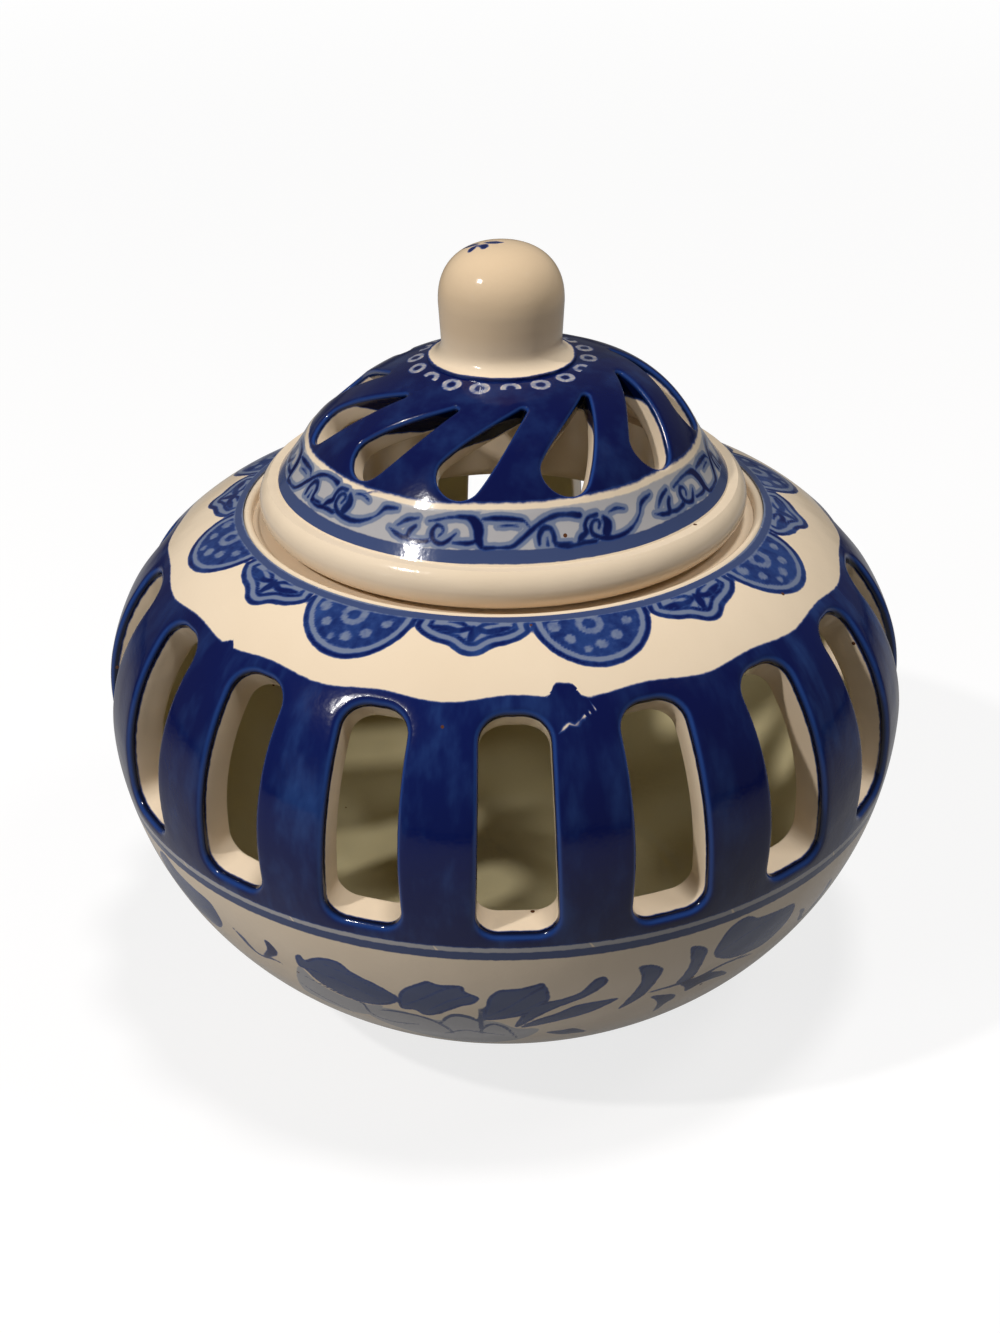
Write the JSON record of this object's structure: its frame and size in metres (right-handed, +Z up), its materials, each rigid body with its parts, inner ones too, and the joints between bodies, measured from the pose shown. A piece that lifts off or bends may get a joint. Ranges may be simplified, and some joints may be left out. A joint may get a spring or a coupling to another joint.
{
  "type": "potpourri vase",
  "caption": "Squat round pierced pottery jar with a loose pierced domed lid and a thimble knob, painted blue on white, that lets scent out through slots.",
  "frame": {"origin": "middle of the foot ring's resting face, on the table", "axes": "+Z up along the turning axis, the pictured front faces -Y, +X to the viewer's right"},
  "size_m": [0.151, 0.1506, 0.1474],
  "materials": {
    "bare_clay": "unglazed wiped foot, matt and slightly gritty",
    "cream_glaze": "glossy warm white glaze with a few iron specks",
    "cobalt_glaze": "brushed cobalt under a glossy clear glaze"
  },
  "bodies": {
    "jar": {"foot_ring": "bare_clay", "jar_bowl": "cream_glaze", "pierced_shoulder": "cobalt_glaze", "mouth_gallery": "cream_glaze"},
    "lid": {"lid_flange": "cream_glaze", "lid_rim": "cream_glaze", "lid_dome": "cobalt_glaze", "lid_knob": "cream_glaze"}
  },
  "joints": [
    {"name": "lid_lift", "type": "slide", "parent": "jar", "child": "lid", "axis": [0, 0, 1], "range_m": [0, 0.07]}
  ]
}
